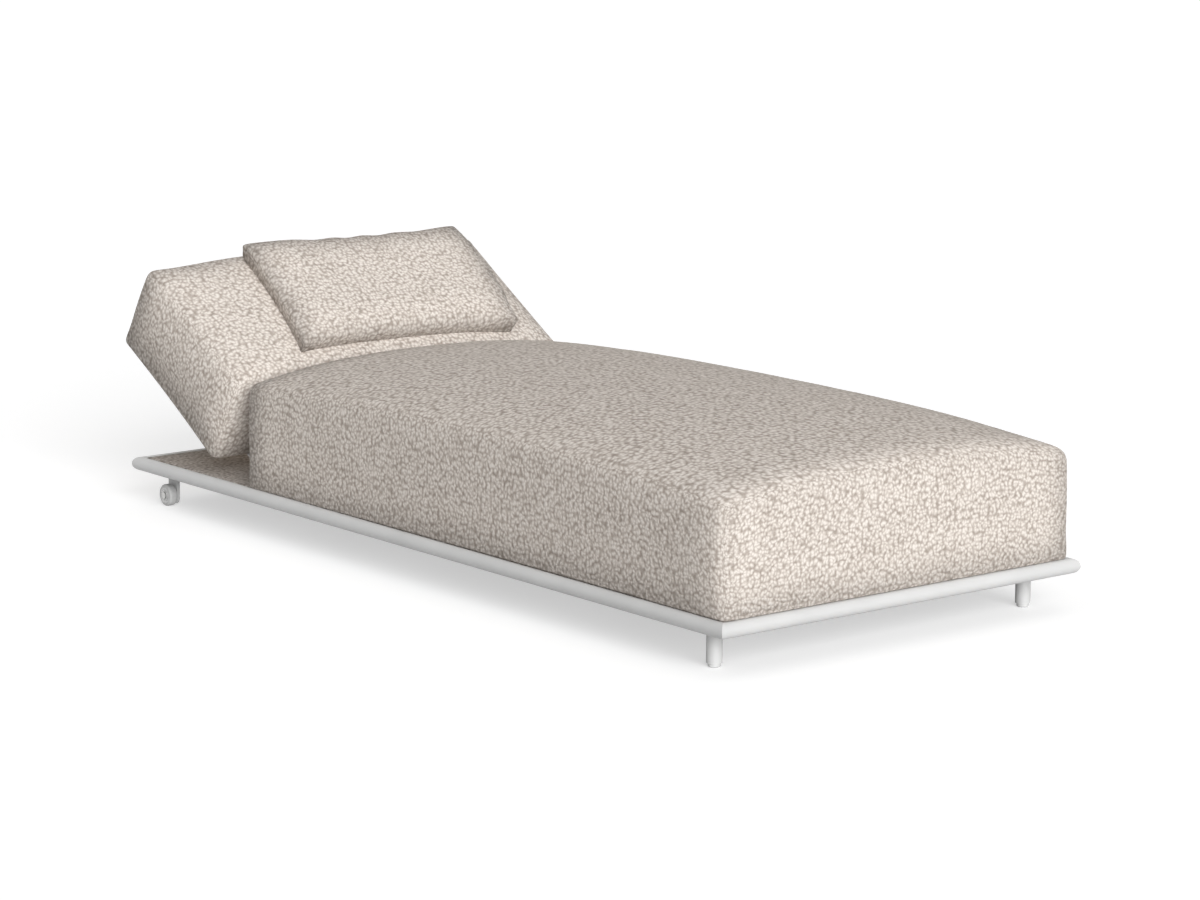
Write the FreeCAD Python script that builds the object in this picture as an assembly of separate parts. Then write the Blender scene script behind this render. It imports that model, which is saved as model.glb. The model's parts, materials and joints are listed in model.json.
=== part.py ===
import FreeCAD, Part
import math
import os

# Low upholstered sun lounger: a white tube base on two legs and two wheels, a deep seat
# cushion, and a back cushion that tilts on two self-locking hinges. Millimetres, +Z up,
# +Y towards the head end, +X to the right as seen from the foot end.

Vector = FreeCAD.Vector
axis_x = Vector(1, 0, 0)
axis_z = Vector(0, 0, 1)
sides = (("left", -1), ("right", 1))

# Shared by all cuts and welded or sewn joints
cut_overrun = 10.0
weld_gap = 0.1
press_clearance = 0.02
cloth_thickness = 3.0
foam_clearance = 0.3

# Base of four mitred tubes
base_width = 900.0
base_length = 2030.0
rail_diameter = 30.0
rail_wall = 2.0
rail_height = 88.0

# Cross-bars between the side rails
bar_width = 30.0
bar_depth = 15.0
bar_wall = 2.0
foot_bar_inset = 94.0
head_bar_inset = 78.0
seat_bar_shares = (0.36, 0.71)

# Deck board with a sewn cloth over it
board_thickness = 5.0
deck_cloth_thickness = 2.0
deck_edge_gap = 0.5
deck_slot_gap = 1.0
screw_shank = 5.0
screw_head = 9.0
screw_head_depth = 2.5
screw_length = 12.0
screw_fit = 0.1
screw_column_shares = (-0.8, 0.0, 0.8)

# Foot legs with plastic glides
leg_diameter = 30.0
leg_wall = 2.0
leg_inset = 61.0
glide_diameter = 24.0
glide_height = 8.0
glide_flange = 2.0
glide_stem = 20.0
glide_edge = 2.0

# Head wheels on plate brackets
wheel_diameter = 48.0
wheel_width = 19.0
wheel_inset = 45.0
tyre_depth = 7.0
tyre_edge = 4.0
hub_dish = 4.0
hub_boss_diameter = 16.0
hub_rim = 3.0
axle_diameter = 8.0
axle_head_diameter = 15.0
axle_head_depth = 3.0
axle_shoulder_diameter = 12.0
axle_shoulder_depth = 1.5
axle_thread_diameter = 6.0
axle_fit = 0.05
wheel_side_play = 0.3
bracket_thickness = 8.0
bracket_width = 34.0
bracket_floor_gap = 3.0
bracket_flange_reach = 34.0
bracket_flange_thickness = 5.0
bracket_bolt = 6.0
bracket_bolt_head = 10.0
bracket_bolt_head_depth = 4.0
bracket_bolt_shares = (0.3, 0.75)
nut_flats = 10.0
nut_depth = 5.0

# Seat cushion
seat_side_gap = 21.0
seat_foot_gap = 21.0
bare_deck_length = 453.0
seat_foot_shoulder = 164.0
seat_middle_shoulder = 212.0
seat_head_shoulder = 176.0
seat_foot_crown_angle = 11.0
seat_middle_crown_angle = 8.5
seat_head_crown_angle = 11.5
seat_side_draw = 5.0
seat_side_bow = 4.0
seat_top_radius = 45.0
seat_bottom_radius = 30.0
seat_end_inset = 24.0
seat_end_depth = 40.0
seat_press = 8.0
seat_station_shares = (-0.75, -0.4, 0.0, 0.4, 0.75)
cushion_end_angles = (0, 30, 60, 90)
swell_power = 2.5

# Self-locking hinges of the back
hinge_setback = 30.0
hinge_height = 288.0
back_tilt = 31.0
post_inset = 150.0
post_thickness = 8.0
post_width = 30.0
lock_diameter = 32.0
lock_width = 15.0
lock_edge = 3.0
lock_rib_depth = 2.0
lock_rib_count = 12
pin_diameter = 10.0
pin_fit = 0.05
pin_head_diameter = 20.0
pin_head_depth = 4.0
pin_head_edge = 1.5
hinge_side_gap = 0.4
hinge_nut_flats = 17.0
hinge_nut_depth = 8.0
arm_thickness = 6.0
arm_width = 24.0
arm_eye_diameter = 28.0
arm_heel_radius = 8.0
arm_flange_width = 40.0
arm_flange_thickness = 4.0
arm_flange_length = 300.0
arm_screw_shank = 5.0
arm_screw_head = 10.0
arm_screw_head_depth = 2.0
arm_screw_length = 10.0
arm_screw_shares = (0.4, 0.65, 0.9)
arm_notch_gap = 1.0

# Back cushion on its board, as it lies flat
back_side_gap = 24.0
back_length = 414.0
back_setback = 17.5
back_front_shoulder = 164.0
back_middle_shoulder = 168.0
back_head_shoulder = 162.0
back_front_crown_angle = 9.0
back_middle_crown_angle = 11.0
back_head_crown_angle = 9.0
back_side_draw = 7.0
back_side_bow = 3.0
back_top_radius = 28.0
back_bottom_radius = 26.0
back_end_inset = 18.0
back_end_depth = 24.0
back_press = 9.0
back_lip = 3.0
back_board_thickness = 12.0
back_station_shares = (-0.5, 0.0, 0.5)
bumper_diameter = 30.0
bumper_height = 4.0
bumper_inset = 50.0
flat_gap = 0.5

# Loose pillow that lies against the back
pillow_width = 562.0
pillow_depth = 328.0
pillow_top_swell = 66.0
pillow_bottom_swell = 46.0
pillow_edge = 8.0
pillow_fullness_power = 4.0
pillow_shoulder_shares = (0.72, 0.82)
pillow_bend_shares = (0.93, 0.5)
pillow_side_draw = 9.0
pillow_offset = 39.0
pillow_rise = 214.0
pillow_seam_height = 6.0
pillow_lean = 7.0
pillow_turn = -2.5
pillow_rest_gap = 0.3
pillow_station_shares = (-1.0, -0.8, -0.4, 0.0, 0.4, 0.8, 1.0)

# Places worked out from the sizes above
rail_radius = rail_diameter / 2
rail_x = base_width / 2 - rail_radius
head_end = base_length / 2
foot_end = -head_end
bar_bottom = rail_height - bar_depth / 2
bar_top = rail_height + bar_depth / 2
board_top = bar_top + board_thickness
deck_top = board_top + deck_cloth_thickness
seat_foot = foot_end + seat_foot_gap
seat_head = head_end - bare_deck_length
seat_width = base_width - 2 * seat_side_gap
back_width = base_width - 2 * back_side_gap
post_offset = base_width / 2 - post_inset
hinge_y = seat_head + hinge_setback
foot_bar_y = foot_end + foot_bar_inset
head_bar_y = head_end - head_bar_inset
wheel_z = wheel_diameter / 2
wheel_x = base_width / 2 - wheel_inset
bracket_face = wheel_x - wheel_width / 2 - wheel_side_play - axle_shoulder_depth
leg_x = base_width / 2 - leg_inset
back_foot = hinge_y + back_setback
back_board_bottom = deck_top + flat_gap + bumper_height
back_bottom = back_board_bottom - back_lip
arm_face = post_offset + post_thickness / 2 + hinge_side_gap
seat_bar_span = hinge_y - foot_bar_y
bar_places = {"foot_crossbar": foot_bar_y, "hinge_crossbar": hinge_y, "head_crossbar": head_bar_y}
for bar_name, bar_share in zip(("seat_foot_crossbar", "seat_head_crossbar"), seat_bar_shares):
    bar_places[bar_name] = foot_bar_y + bar_share * seat_bar_span

pieces = {}


def box(x0, x1, y0, y1, z0, z1):
    return Part.makeBox(x1 - x0, y1 - y0, z1 - z0, Vector(x0, y0, z0))


def rod(radius, start, end):
    """A round bar from one point to another."""
    run = end - start
    return Part.makeCylinder(radius, run.Length, start, run)


def side_box(side, x0, x1, y0, y1, z0, z1):
    """A box given for the right-hand side, or its mirror image on the left."""
    low, high = sorted((side * x0, side * x1))
    return box(low, high, y0, y1, z0, z1)


def side_rod(side, radius, x0, x1, y, z):
    return rod(radius, Vector(side * x0, y, z), Vector(side * x1, y, z))


def hexagon(flats, depth, centre, direction):
    """A six-sided nut or bolt head, standing on its centre point."""
    reach = flats / math.sqrt(3)
    corners = []
    for k in range(7):
        turn = math.radians(60 * k)
        corners.append(Vector(reach * math.cos(turn), reach * math.sin(turn), 0))
    head = Part.Face(Part.makePolygon(corners)).extrude(axis_z * depth)
    turned = FreeCAD.Rotation(axis_z, direction)
    head.Placement = FreeCAD.Placement(centre, turned)
    return head


def group(solids):
    return Part.makeCompound(solids)


# Base frame
def mitred_rail(length, centre_x, centre_y, along_y):
    """A tube cut at 45 degrees at both ends, with its long side outwards."""
    half = length / 2
    start = Vector(0, -half, rail_height)
    end = Vector(0, half, rail_height)
    tube = rod(rail_radius, start, end).cut(rod(rail_radius - rail_wall, start, end))
    outline = Part.makePolygon([
        Vector(-rail_radius, -half, 0),
        Vector(rail_radius, -half + rail_diameter, 0),
        Vector(rail_radius, half - rail_diameter, 0),
        Vector(-rail_radius, half, 0),
        Vector(-rail_radius, -half, 0),
    ])
    mitre = Part.Face(outline).extrude(axis_z * (rail_height + rail_diameter))
    rail = tube.common(mitre)
    if along_y:
        turn = 0 if centre_x < 0 else 180
    else:
        turn = 90 if centre_y < 0 else -90
    rail.rotate(Vector(0, 0, 0), axis_z, turn)
    rail.translate(Vector(centre_x, centre_y, 0))
    return rail


pieces["left_rail"] = mitred_rail(base_length, -rail_x, 0, True)
pieces["right_rail"] = mitred_rail(base_length, rail_x, 0, True)
pieces["foot_rail"] = mitred_rail(base_width, 0, foot_end + rail_radius, False)
pieces["head_rail"] = mitred_rail(base_width, 0, head_end - rail_radius, False)


def crossbar(y):
    """A flat box tube whose ends are hollowed to sit against the round rails."""
    half = bar_width / 2
    bar = box(-rail_x, rail_x, y - half, y + half, bar_bottom, bar_top)
    hollow = box(-rail_x, rail_x, y - half + bar_wall, y + half - bar_wall,
                 bar_bottom + bar_wall, bar_top - bar_wall)
    bar = bar.cut(hollow)
    for name, side in sides:
        start = Vector(side * rail_x, y - bar_width, rail_height)
        end = Vector(side * rail_x, y + bar_width, rail_height)
        bar = bar.cut(rod(rail_radius + weld_gap, start, end))
    return bar


bars = {name: crossbar(y) for name, y in bar_places.items()}


# Deck
def deck_reach(height):
    """Half the width between the round side rails at one height, less the edge gap."""
    rise = height - rail_height
    return rail_x - math.sqrt(rail_radius ** 2 - rise ** 2) - deck_edge_gap


def deck_sheet(bottom, top):
    half_width = deck_reach(bottom)
    half_length = half_width + (base_length - base_width) / 2
    sheet = box(-half_width, half_width, -half_length, half_length, bottom, top)
    for name, side in sides:
        slot_x = post_thickness / 2 + deck_slot_gap
        slot_y = post_width / 2 + deck_slot_gap
        sheet = sheet.cut(side_box(side, post_offset - slot_x, post_offset + slot_x,
                                   hinge_y - slot_y, hinge_y + slot_y,
                                   bottom - cut_overrun, top + cut_overrun))
    return sheet


def deck_screw(x, y, fit):
    """A countersunk screw, flush with the top of the board; fit widens it for its hole."""
    head = Part.makeCone(screw_shank / 2 + fit, screw_head / 2 + fit, screw_head_depth,
                         Vector(x, y, board_top - screw_head_depth))
    shank = rod(screw_shank / 2 + fit, Vector(x, y, board_top - screw_length),
                Vector(x, y, board_top - screw_head_depth))
    return head.fuse(shank).removeSplitter()


screw_places = []
for bar_y in bar_places.values():
    for share in screw_column_shares:
        screw_places.append((share * leg_x, bar_y))

board = deck_sheet(bar_top, board_top)
screw_holes = group([deck_screw(x, y, screw_fit) for x, y in screw_places])
pieces["deck_board"] = board.cut(screw_holes)
pieces["deck_cover"] = deck_sheet(board_top, deck_top)
pieces["deck_screws"] = group([deck_screw(x, y, 0) for x, y in screw_places])
for name, bar in bars.items():
    pieces[name] = bar.cut(screw_holes)


# Foot legs
def foot_leg(side):
    bottom = Vector(side * leg_x, foot_bar_y, glide_height + glide_flange)
    top = Vector(side * leg_x, foot_bar_y, bar_bottom)
    return rod(leg_diameter / 2, bottom, top).cut(rod(leg_diameter / 2 - leg_wall, bottom, top))


def foot_glide(side):
    """A stem in the leg, a flange under its end and a narrower foot with a broken edge."""
    stem = leg_diameter / 2 - leg_wall - press_clearance
    foot = glide_diameter / 2
    flange_top = glide_height + glide_flange
    outline = [
        Vector(0, 0, 0),
        Vector(foot - glide_edge, 0, 0),
        Vector(foot, 0, glide_edge),
        Vector(foot, 0, glide_height),
        Vector(leg_diameter / 2, 0, glide_height),
        Vector(leg_diameter / 2, 0, flange_top),
        Vector(stem, 0, flange_top),
        Vector(stem, 0, flange_top + glide_stem),
        Vector(0, 0, flange_top + glide_stem),
        Vector(0, 0, 0),
    ]
    glide = Part.Face(Part.makePolygon(outline)).revolve(Vector(0, 0, 0), axis_z, 360)
    glide.translate(Vector(side * leg_x, foot_bar_y, 0))
    return glide


# Head wheels
def wheel_turned(side, outline):
    """Turns an outline of (reach along the axle, radius) pairs about the axle."""
    points = [Vector(side * (wheel_x + along), 0, radius) for along, radius in outline]
    face = Part.Face(Part.makePolygon(points + points[:1]))
    turned = face.revolve(Vector(0, 0, 0), axis_x, 360)
    turned.translate(Vector(0, head_bar_y, wheel_z))
    return turned


def wheel_hub(side):
    half = wheel_width / 2
    bore = axle_diameter / 2 + axle_fit
    rim = wheel_diameter / 2 - tyre_depth
    boss = hub_boss_diameter / 2
    return wheel_turned(side, [
        (-half, bore), (-half, boss), (-half + hub_dish, boss),
        (-half + hub_dish, rim - hub_rim), (-half, rim - hub_rim), (-half, rim),
        (half, rim), (half, rim - hub_rim), (half - hub_dish, rim - hub_rim),
        (half - hub_dish, boss), (half, boss), (half, bore),
    ])


def tyre(side):
    half = wheel_width / 2
    inner = wheel_diameter / 2 - tyre_depth + press_clearance
    outer = wheel_diameter / 2
    ring = wheel_turned(side, [(-half, inner), (-half, outer), (half, outer), (half, inner)])
    outer_edges = []
    for edge in ring.Edges:
        if isinstance(edge.Curve, Part.Circle) and edge.Curve.Radius > outer - tyre_edge:
            outer_edges.append(edge)
    return ring.makeFillet(tyre_edge, outer_edges)


def wheel_bracket(side):
    """A plate with a round lower end and a flange that is bolted up under the cross-bar."""
    inner = bracket_face - bracket_thickness
    half = bracket_width / 2
    round_z = bracket_floor_gap + half
    plate = side_box(side, inner, bracket_face, head_bar_y - half, head_bar_y + half,
                     round_z, bar_bottom)
    plate = plate.fuse(side_rod(side, half, inner, bracket_face, head_bar_y, round_z))
    flange = side_box(side, inner - bracket_flange_reach, inner, head_bar_y - half,
                      head_bar_y + half, bar_bottom - bracket_flange_thickness, bar_bottom)
    bracket = plate.fuse(flange).removeSplitter()
    bracket = bracket.cut(side_rod(side, axle_thread_diameter / 2 + press_clearance,
                                   inner - cut_overrun, bracket_face + cut_overrun,
                                   head_bar_y, wheel_z))
    for x in bolt_reaches():
        bracket = bracket.cut(bolt_hole(side, x))
    return bracket


def bolt_reaches():
    flange_start = bracket_face - bracket_thickness
    return [flange_start - share * bracket_flange_reach for share in bracket_bolt_shares]


def bolt_hole(side, x):
    under = Vector(side * x, head_bar_y, bar_bottom - bracket_flange_thickness - cut_overrun)
    over = Vector(side * x, head_bar_y, bar_bottom + bar_wall + weld_gap)
    return rod(bracket_bolt / 2 + screw_fit, under, over)


def bracket_bolt_piece(side, x):
    seat = bar_bottom - bracket_flange_thickness
    head = hexagon(bracket_bolt_head, bracket_bolt_head_depth, Vector(side * x, head_bar_y, seat),
                   axis_z * -1)
    shank = rod(bracket_bolt / 2, Vector(side * x, head_bar_y, seat),
                Vector(side * x, head_bar_y, bar_bottom + bar_wall))
    return head.fuse(shank).removeSplitter()


def axle(side):
    """A shoulder bolt: head outside the wheel, plain bearing in it, thread in the bracket."""
    wheel_face = wheel_x + wheel_width / 2 + wheel_side_play
    inner = bracket_face - bracket_thickness
    turned = side_rod(side, axle_head_diameter / 2, wheel_face, wheel_face + axle_head_depth,
                      head_bar_y, wheel_z)
    turned = turned.fuse(side_rod(side, axle_diameter / 2, bracket_face, wheel_face,
                                  head_bar_y, wheel_z))
    turned = turned.fuse(side_rod(side, axle_shoulder_diameter / 2, bracket_face,
                                  bracket_face + axle_shoulder_depth, head_bar_y, wheel_z))
    turned = turned.fuse(side_rod(side, axle_thread_diameter / 2, inner - nut_depth, bracket_face,
                                  head_bar_y, wheel_z))
    return turned.removeSplitter()


def axle_nut(side):
    inner = bracket_face - bracket_thickness
    nut = hexagon(nut_flats, nut_depth, Vector(side * inner, head_bar_y, wheel_z),
                  Vector(-side, 0, 0))
    return nut.cut(side_rod(side, axle_thread_diameter / 2 + press_clearance,
                            inner - nut_depth - cut_overrun, inner + cut_overrun,
                            head_bar_y, wheel_z))


bolts = []
nuts = []
for name, side in sides:
    pieces[name + "_foot_leg"] = foot_leg(side)
    pieces[name + "_foot_glide"] = foot_glide(side)
    pieces[name + "_wheel_hub"] = wheel_hub(side)
    pieces[name + "_tyre"] = tyre(side)
    pieces[name + "_wheel_bracket"] = wheel_bracket(side)
    pieces[name + "_axle"] = axle(side)
    nuts.append(axle_nut(side))
    for x in bolt_reaches():
        bolts.append(bracket_bolt_piece(side, x))
        pieces["head_crossbar"] = pieces["head_crossbar"].cut(bolt_hole(side, x))
pieces["axle_nuts"] = group(nuts)
pieces["bracket_bolts"] = group(bolts)


# Cushions
def swell(share, foot, middle, head):
    """A value along a cushion: its middle one, falling off towards either end."""
    end = foot if share < 0 else head
    return middle + (end - middle) * abs(share) ** swell_power


def cushion_section(y, half_width, bottom, shoulder, crown_angle, low_radius, top_radius, bow):
    """A closed outline across a cushion: flat bottom, bowed sides and a crown arc on top.

    The top corners turn until they meet the crown arc without a kink."""
    crown = math.radians(crown_angle)
    turn = math.pi / 2 - crown
    low_slant = low_radius * math.sqrt(0.5)
    low_x = half_width - low_radius
    low_z = bottom + low_radius
    top_x = half_width - top_radius
    crown_x = top_x + top_radius * math.cos(turn)
    crown_z = shoulder + top_radius * math.sin(turn)
    peak = crown_z + crown_x * math.tan(crown / 2)

    def right(x, z):
        return Vector(x, y, z)

    def left(x, z):
        return Vector(-x, y, z)

    def half_arcs(place):
        return [
            (place(low_x, bottom), place(low_x + low_slant, low_z - low_slant),
             place(half_width, low_z)),
            (place(half_width, low_z), place(half_width + bow, (low_z + shoulder) / 2),
             place(half_width, shoulder)),
            (place(half_width, shoulder),
             place(top_x + top_radius * math.cos(turn / 2), shoulder + top_radius * math.sin(turn / 2)),
             place(crown_x, crown_z)),
        ]

    edges = [Part.LineSegment(left(low_x, bottom), right(low_x, bottom)).toShape()]
    edges += [Part.Arc(*points).toShape() for points in half_arcs(right)]
    edges.append(Part.Arc(right(crown_x, crown_z), right(0, peak), left(crown_x, crown_z)).toShape())
    for start, middle, end in reversed(half_arcs(left)):
        edges.append(Part.Arc(end, middle, start).toShape())
    return Part.Wire(edges)


def cushion_stations(form, inset):
    """Places along a cushion, each with how far its outline is drawn in there.

    At either end the outline shrinks round a quarter of an ellipse to the end face."""
    foot = form["foot"] + inset
    head = form["head"] - inset
    middle = (foot + head) / 2
    stations = []
    for angle in form["end_angles"]:
        drawn = form["end_inset"] * (1 - math.sin(math.radians(angle)))
        along = form["end_depth"] * (1 - math.cos(math.radians(angle)))
        stations.append((foot + along, drawn))
        stations.append((head - along, drawn))
    for share in form["shares"]:
        stations.append((middle + share * (head - foot) / 2, 0))
    return sorted(stations)


def cushion(form, inset):
    """A crowned cushion between two ends, with all its faces moved in by one inset.

    Its rounded underside reaches below the level that it is later pressed flat at."""
    middle = (form["foot"] + form["head"]) / 2
    half = (form["head"] - form["foot"]) / 2
    sections = []
    for y, end_drawn in cushion_stations(form, inset):
        share = (y - middle) / half
        drawn = form["draw"] * (1 - share ** 2) + end_drawn + inset
        sections.append(cushion_section(
            y, form["width"] / 2 - drawn, form["level"] - form["press"] + end_drawn + inset,
            form["level"] + swell(share, *form["shoulders"]), swell(share, *form["crowns"]),
            form["low_radius"] - end_drawn - inset, form["top_radius"] - end_drawn - inset,
            form["bow"]))
    return Part.makeLoft(sections, True, False)


def above(shape, height):
    """What is left of a shape over one level."""
    room = shape.BoundBox
    return shape.common(box(room.XMin - cut_overrun, room.XMax + cut_overrun,
                            room.YMin - cut_overrun, room.YMax + cut_overrun,
                            height, room.ZMax + cut_overrun))


seat_form = {
    "foot": seat_foot,
    "head": seat_head,
    "width": seat_width,
    "level": deck_top,
    "press": seat_press,
    "shoulders": (seat_foot_shoulder, seat_middle_shoulder, seat_head_shoulder),
    "crowns": (seat_foot_crown_angle, seat_middle_crown_angle, seat_head_crown_angle),
    "draw": seat_side_draw,
    "bow": seat_side_bow,
    "low_radius": seat_bottom_radius,
    "top_radius": seat_top_radius,
    "end_inset": seat_end_inset,
    "end_depth": seat_end_depth,
    "end_angles": cushion_end_angles,
    "shares": seat_station_shares,
}


def seat_body(inset):
    """The seat cushion, pressed flat where it rests on the deck."""
    return above(cushion(seat_form, inset), deck_top + inset)


pieces["seat_cover"] = seat_body(0).cut(seat_body(cloth_thickness))
pieces["seat_foam"] = seat_body(cloth_thickness + foam_clearance)

back_form = {
    "foot": back_foot,
    "head": back_foot + back_length,
    "width": back_width,
    "level": back_bottom,
    "press": back_press,
    "shoulders": (back_front_shoulder, back_middle_shoulder, back_head_shoulder),
    "crowns": (back_front_crown_angle, back_middle_crown_angle, back_head_crown_angle),
    "draw": back_side_draw,
    "bow": back_side_bow,
    "low_radius": back_bottom_radius,
    "top_radius": back_top_radius,
    "end_inset": back_end_inset,
    "end_depth": back_end_depth,
    "end_angles": cushion_end_angles,
    "shares": back_station_shares,
}


back = {}
back_block = cushion(back_form, 0)
back_hollow = cushion(back_form, cloth_thickness)
back_core = cushion(back_form, cloth_thickness + foam_clearance)
back_board_top = back_board_bottom + back_board_thickness
back["back_cover"] = above(back_block, back_bottom).cut(back_hollow)
back["back_foam"] = above(back_core, back_board_top)
back_board = above(back_core, back_board_bottom).cut(above(back_core, back_board_top))


# Hinge arms under the back
def arm_screw(side, y, fit):
    x = side * (arm_face + arm_flange_width / 2)
    shank = rod(arm_screw_shank / 2 + fit, Vector(x, y, back_board_bottom - arm_flange_thickness),
                Vector(x, y, back_board_bottom - arm_flange_thickness + arm_screw_length))
    head = Part.makeCone(arm_screw_head / 2 + fit, arm_screw_shank / 2 + fit, arm_screw_head_depth,
                         Vector(x, y, back_board_bottom - arm_flange_thickness))
    return head.fuse(shank).removeSplitter()


def hinge_arm(side):
    """An eye on the pin, an upright in front of the cushion and a flange under its board."""
    half = arm_width / 2
    outer = arm_face + arm_thickness
    low = back_board_bottom - arm_flange_thickness
    flange_end = hinge_y + arm_flange_length
    flange = side_box(side, arm_face, arm_face + arm_flange_width, hinge_y - half, flange_end,
                      low, back_board_bottom)
    upright = side_box(side, arm_face, outer, hinge_y - half, hinge_y + half,
                       low, hinge_height)
    eye = side_rod(side, arm_eye_diameter / 2, arm_face, outer, hinge_y, hinge_height)
    arm = upright.fuse(flange).fuse(eye).removeSplitter()
    heel = side_box(side, arm_face - cut_overrun, arm_face + arm_flange_width + cut_overrun,
                    hinge_y - half - cut_overrun, hinge_y - half + arm_heel_radius,
                    low - cut_overrun, low + arm_heel_radius)
    heel_y = hinge_y - half + arm_heel_radius
    heel_z = low + arm_heel_radius
    arm = arm.cut(heel.cut(side_rod(side, arm_heel_radius, arm_face - cut_overrun,
                                    arm_face + arm_flange_width + cut_overrun, heel_y, heel_z)))
    arm = arm.cut(side_rod(side, pin_diameter / 2 + press_clearance, arm_face - cut_overrun,
                           outer + cut_overrun, hinge_y, hinge_height))
    return arm.cut(group([arm_screw(side, y, screw_fit) for y in arm_screw_places]))


def arm_notch(side):
    """Room in the lip of the back cover for the flange of an arm."""
    low = back_board_bottom - arm_flange_thickness
    return side_box(side, arm_face - arm_notch_gap, arm_face + arm_flange_width + arm_notch_gap,
                    hinge_y, hinge_y + arm_flange_length, low - cut_overrun,
                    back_board_bottom + arm_notch_gap)


def hinge_pin(side):
    """Headed outside the arm, turning with it in the post and in the lock."""
    outer = arm_face + arm_thickness
    inner = post_offset - post_thickness / 2 - lock_width - hinge_side_gap - hinge_nut_depth
    head = side_rod(side, pin_head_diameter / 2, outer, outer + pin_head_depth,
                    hinge_y, hinge_height)
    rims = []
    for edge in head.Edges:
        if isinstance(edge.Curve, Part.Circle) and abs(edge.Curve.Center.x) > outer:
            rims.append(edge)
    head = head.makeFillet(pin_head_edge, rims)
    shank = side_rod(side, pin_diameter / 2, inner, outer, hinge_y, hinge_height)
    return head.fuse(shank).removeSplitter()


def hinge_nut(side):
    inner = post_offset - post_thickness / 2 - lock_width - hinge_side_gap
    nut = hexagon(hinge_nut_flats, hinge_nut_depth, Vector(side * inner, hinge_y, hinge_height),
                  Vector(-side, 0, 0))
    return nut.cut(side_rod(side, pin_diameter / 2 + press_clearance,
                            inner - hinge_nut_depth - cut_overrun, inner + cut_overrun,
                            hinge_y, hinge_height))


arm_screw_places = [hinge_y + share * arm_flange_length for share in arm_screw_shares]
arm_screws = []
arm_screw_holes = []
hinge_nuts = []
for name, side in sides:
    back[name + "_hinge_arm"] = hinge_arm(side)
    back[name + "_hinge_pin"] = hinge_pin(side)
    back["back_cover"] = back["back_cover"].cut(arm_notch(side))
    hinge_nuts.append(hinge_nut(side))
    arm_screws += [arm_screw(side, y, 0) for y in arm_screw_places]
    arm_screw_holes += [arm_screw(side, y, screw_fit) for y in arm_screw_places]
back["hinge_nuts"] = group(hinge_nuts)
back["arm_screws"] = group(arm_screws)
back["back_board"] = back_board.cut(group(arm_screw_holes))

bumpers = []
for name, side in sides:
    bumper_x = side * (back_width / 2 - bumper_inset)
    for bumper_y in (back_foot + bumper_inset, back_foot + back_length - bumper_inset):
        bumpers.append(rod(bumper_diameter / 2, Vector(bumper_x, bumper_y, deck_top + flat_gap),
                           Vector(bumper_x, bumper_y, back_board_bottom)))
back["back_bumpers"] = group(bumpers)


# Pillow
def pillow_half(x, reach, height):
    """The arcs over or under the seam at one place across the pillow: bend, crown, bend."""
    shoulder_y = reach * pillow_shoulder_shares[0]
    shoulder_z = height * pillow_shoulder_shares[1]
    bend_y = reach * pillow_bend_shares[0]
    bend_z = height * pillow_bend_shares[1]
    return [
        Part.Arc(Vector(x, -reach, 0), Vector(x, -bend_y, bend_z), Vector(x, -shoulder_y, shoulder_z)),
        Part.Arc(Vector(x, -shoulder_y, shoulder_z), Vector(x, 0, height), Vector(x, shoulder_y, shoulder_z)),
        Part.Arc(Vector(x, shoulder_y, shoulder_z), Vector(x, bend_y, bend_z), Vector(x, reach, 0)),
    ]


def pillow_lens(inset):
    """A pillow with a seam all round, full over and under it and drawn in between its corners."""
    half_width = pillow_width / 2 - inset
    sections = []
    for share in pillow_station_shares:
        x = share * half_width
        drawn = pillow_side_draw * (1 - share ** 2)
        reach = pillow_depth / 2 - drawn - inset
        fullness = math.sqrt(1 - abs(share) ** pillow_fullness_power)
        over = pillow_edge + (pillow_top_swell - pillow_edge) * fullness - inset
        under = pillow_edge + (pillow_bottom_swell - pillow_edge) * fullness - inset
        arcs = pillow_half(x, reach, over) + pillow_half(x, reach, -under)
        sections.append(Part.Wire(Part.__sortEdges__([arc.toShape() for arc in arcs])))
    lens = Part.makeLoft(sections, True, False)
    lens.rotate(Vector(0, 0, 0), axis_z, pillow_turn)
    lens.rotate(Vector(0, 0, 0), axis_x, pillow_lean)
    lens.translate(Vector(pillow_offset, back_foot + pillow_rise, back_peak + pillow_seam_height))
    return lens


def pillow_body(inset):
    """The pillow, pressed to the form of the back cushion where it rests."""
    return pillow_lens(inset).cut(cushion(back_form, -pillow_rest_gap - inset))


back_peak = back_block.optimalBoundingBox().ZMax
pillow_clearance = cloth_thickness + foam_clearance
back["pillow_cover"] = pillow_body(0).cut(pillow_body(cloth_thickness))
back["pillow_fill"] = pillow_body(pillow_clearance)

hinge_axis = Vector(0, hinge_y, hinge_height)
for name, shape in back.items():
    shape.rotate(hinge_axis, axis_x, back_tilt)
    pieces[name] = shape


# Hinge posts and locks on the base
def hinge_post(side):
    """A flat upright with a round top, welded to the hinge cross-bar through the deck."""
    inner = post_offset - post_thickness / 2
    outer = post_offset + post_thickness / 2
    half = post_width / 2
    post = side_box(side, inner, outer, hinge_y - half, hinge_y + half, bar_top, hinge_height)
    post = post.fuse(side_rod(side, half, inner, outer, hinge_y, hinge_height)).removeSplitter()
    return post.cut(side_rod(side, pin_diameter / 2 + pin_fit, inner - cut_overrun,
                             outer + cut_overrun, hinge_y, hinge_height))


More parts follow.
